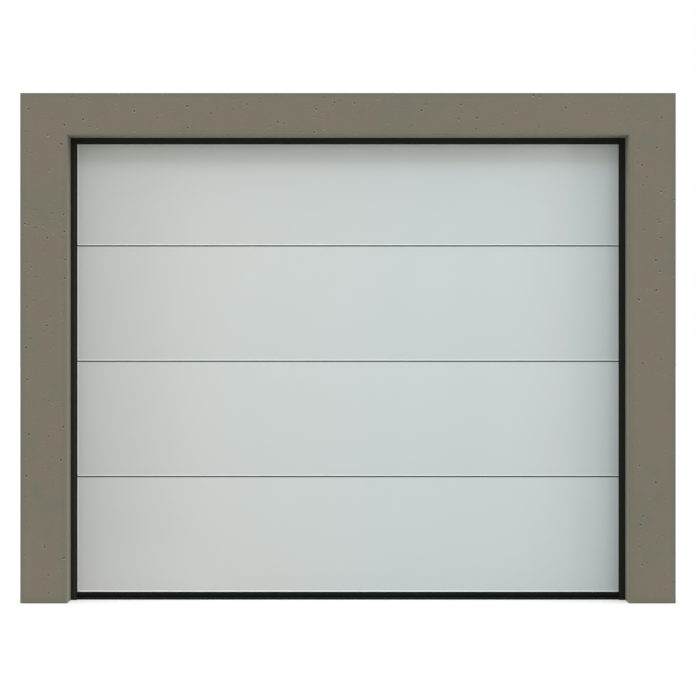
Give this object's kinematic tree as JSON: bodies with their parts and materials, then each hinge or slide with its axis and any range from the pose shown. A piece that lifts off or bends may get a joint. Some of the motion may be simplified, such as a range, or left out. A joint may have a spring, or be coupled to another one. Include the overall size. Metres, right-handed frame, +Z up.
{
  "type": "sectional overhead garage door in a concrete portal",
  "caption": "Flush sectional overhead garage door, closed, with black seals, tracks, rollers and tension springs, set in a square concrete portal.",
  "frame": {"origin": "on the floor, at the middle of the threshold under the closed door leaf", "axes": "+X to the right seen from outside, +Y into the garage, +Z up"},
  "size_m": [2.8, 2.5883, 2.18],
  "materials": {
    "concrete": "cast, matt",
    "panel_coating": "smooth coated steel, satin",
    "frame_coating": "black powder coat",
    "seal_rubber": "matt",
    "black_aluminium": "black anodised",
    "zinc_steel": "hot-dip galvanised",
    "bright_steel": "drawn, zinc plated",
    "spring_steel": "galvanised spring wire",
    "roller_nylon": "moulded",
    "pulley_nylon": "moulded"
  },
  "bodies": {
    "root": {"bottom_retainer": "black_aluminium", "bottom_seal": "seal_rubber", "bottom_section": "panel_coating", "centre_hinges": "zinc_steel", "header_rail": "frame_coating", "header_seal": "seal_rubber", "left_bottom_bracket": "zinc_steel", "left_curved_track": "zinc_steel", "left_end_stiles": "zinc_steel", "left_frame_post": "frame_coating", "left_horizontal_tracks": "zinc_steel", "left_lift_cable": "bright_steel", "left_pier": "concrete", "left_pulleys": "pulley_nylon", "left_roller_hinges": "zinc_steel", "left_roller_shafts": "bright_steel", "left_rollers": "roller_nylon", "left_side_seal": "seal_rubber", "left_spring_fittings": "zinc_steel", "left_springs": "spring_steel", "left_top_carrier": "zinc_steel", "left_track_brackets": "zinc_steel", "left_vertical_track": "zinc_steel", "lintel": "concrete", "lower_middle_section": "panel_coating", "rear_crossbar": "zinc_steel", "right_bottom_bracket": "zinc_steel", "right_curved_track": "zinc_steel", "right_end_stiles": "zinc_steel", "right_frame_post": "frame_coating", "right_horizontal_tracks": "zinc_steel", "right_lift_cable": "bright_steel", "right_pier": "concrete", "right_pulleys": "pulley_nylon", "right_roller_hinges": "zinc_steel", "right_roller_shafts": "bright_steel", "right_rollers": "roller_nylon", "right_side_seal": "seal_rubber", "right_spring_fittings": "zinc_steel", "right_springs": "spring_steel", "right_top_carrier": "zinc_steel", "right_track_brackets": "zinc_steel", "right_vertical_track": "zinc_steel", "top_section": "panel_coating", "upper_middle_section": "panel_coating"}
  },
  "joints": []
}
